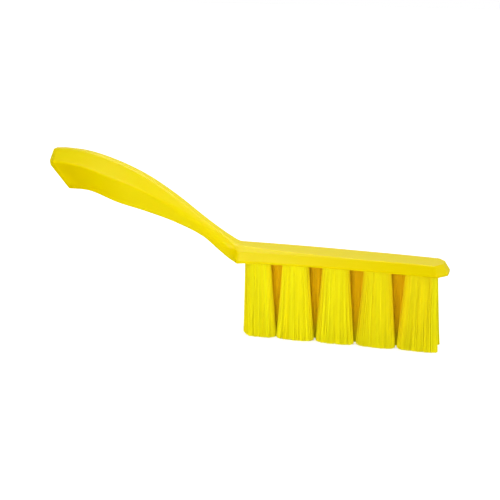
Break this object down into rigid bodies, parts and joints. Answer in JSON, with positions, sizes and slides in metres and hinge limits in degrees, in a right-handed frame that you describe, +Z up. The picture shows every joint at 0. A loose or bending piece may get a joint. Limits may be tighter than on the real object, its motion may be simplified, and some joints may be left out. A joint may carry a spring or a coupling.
{
  "type": "hand brush",
  "caption": "Hand brush with an arched, faceted moulded handle running on into a long block, and rows of stiff bristle bundles set in its underside.",
  "frame": {"origin": "middle of the brush's length and width, on the ground plane under the bristle tips", "axes": "+X from the butt of the handle to the nose of the block, +Y across the brush, +Z up"},
  "size_m": [0.3298, 0.0344, 0.1447],
  "materials": {
    "moulding": "satin moulded polypropylene",
    "bristles": "drawn polyester filament"
  },
  "bodies": {
    "root": {"handle_block": "moulding", "front_bristles_1": "bristles", "front_bristles_2": "bristles", "front_bristles_3": "bristles", "front_bristles_4": "bristles", "front_bristles_5": "bristles", "middle_bristles_1": "bristles", "middle_bristles_2": "bristles", "middle_bristles_3": "bristles", "middle_bristles_4": "bristles", "back_bristles_1": "bristles", "back_bristles_2": "bristles", "back_bristles_3": "bristles", "back_bristles_4": "bristles", "back_bristles_5": "bristles"}
  },
  "joints": []
}
